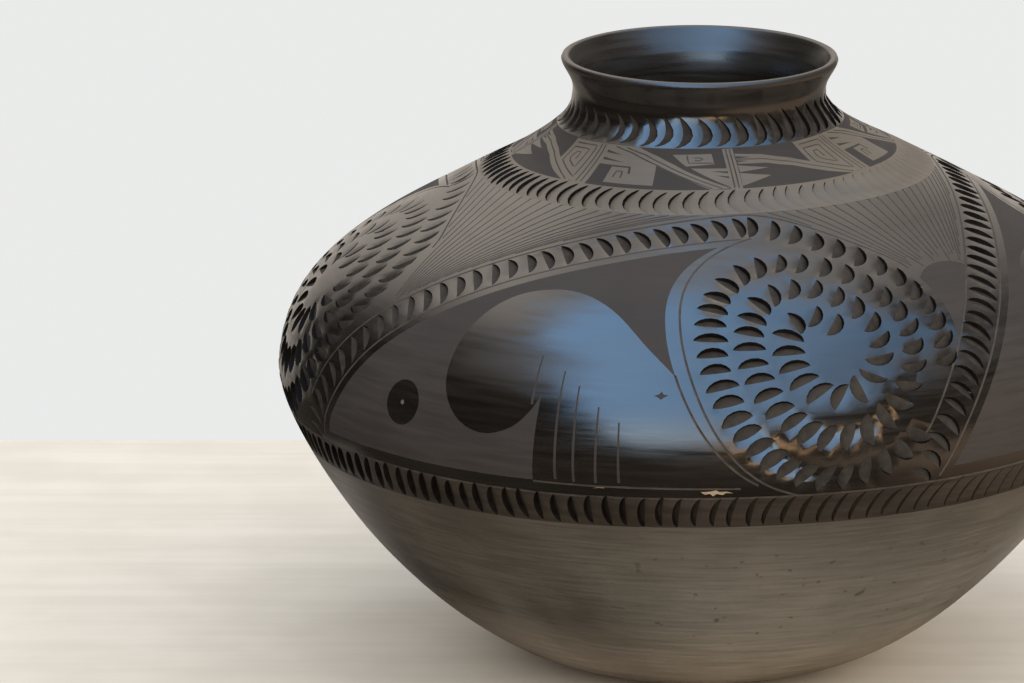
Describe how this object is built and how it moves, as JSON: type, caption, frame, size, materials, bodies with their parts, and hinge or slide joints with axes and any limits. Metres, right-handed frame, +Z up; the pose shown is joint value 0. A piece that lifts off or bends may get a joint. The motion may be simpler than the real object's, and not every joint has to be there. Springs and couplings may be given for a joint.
{
  "type": "coil-built olla",
  "caption": "Wide round-bellied black clay jar with a short fluted neck, rolled lip and gouge-carved whorl, arch and band relief; holds water, grain or stems.",
  "frame": {"origin": "centre of the flat resting face", "axes": "+Z up along the axis of the jar, -Y towards the side that the picture shows"},
  "size_m": [0.3256, 0.3256, 0.2321],
  "materials": {
    "smoked_clay": "semi-burnished smoke-fired clay with fine horizontal burnishing streaks",
    "carved_clay": "burnished black clay, gouge-carved, with matte slip painting",
    "burnished_clay": "stone-burnished glossy black clay"
  },
  "bodies": {
    "root": {"base_slab": "smoked_clay", "lower_coil": "smoked_clay", "under_belly_coil": "smoked_clay", "belly_coil": "carved_clay", "panel_coil": "carved_clay", "shoulder_coil": "carved_clay", "collar_coil": "carved_clay", "neck_coil": "carved_clay", "rim_coil": "burnished_clay"}
  },
  "joints": []
}
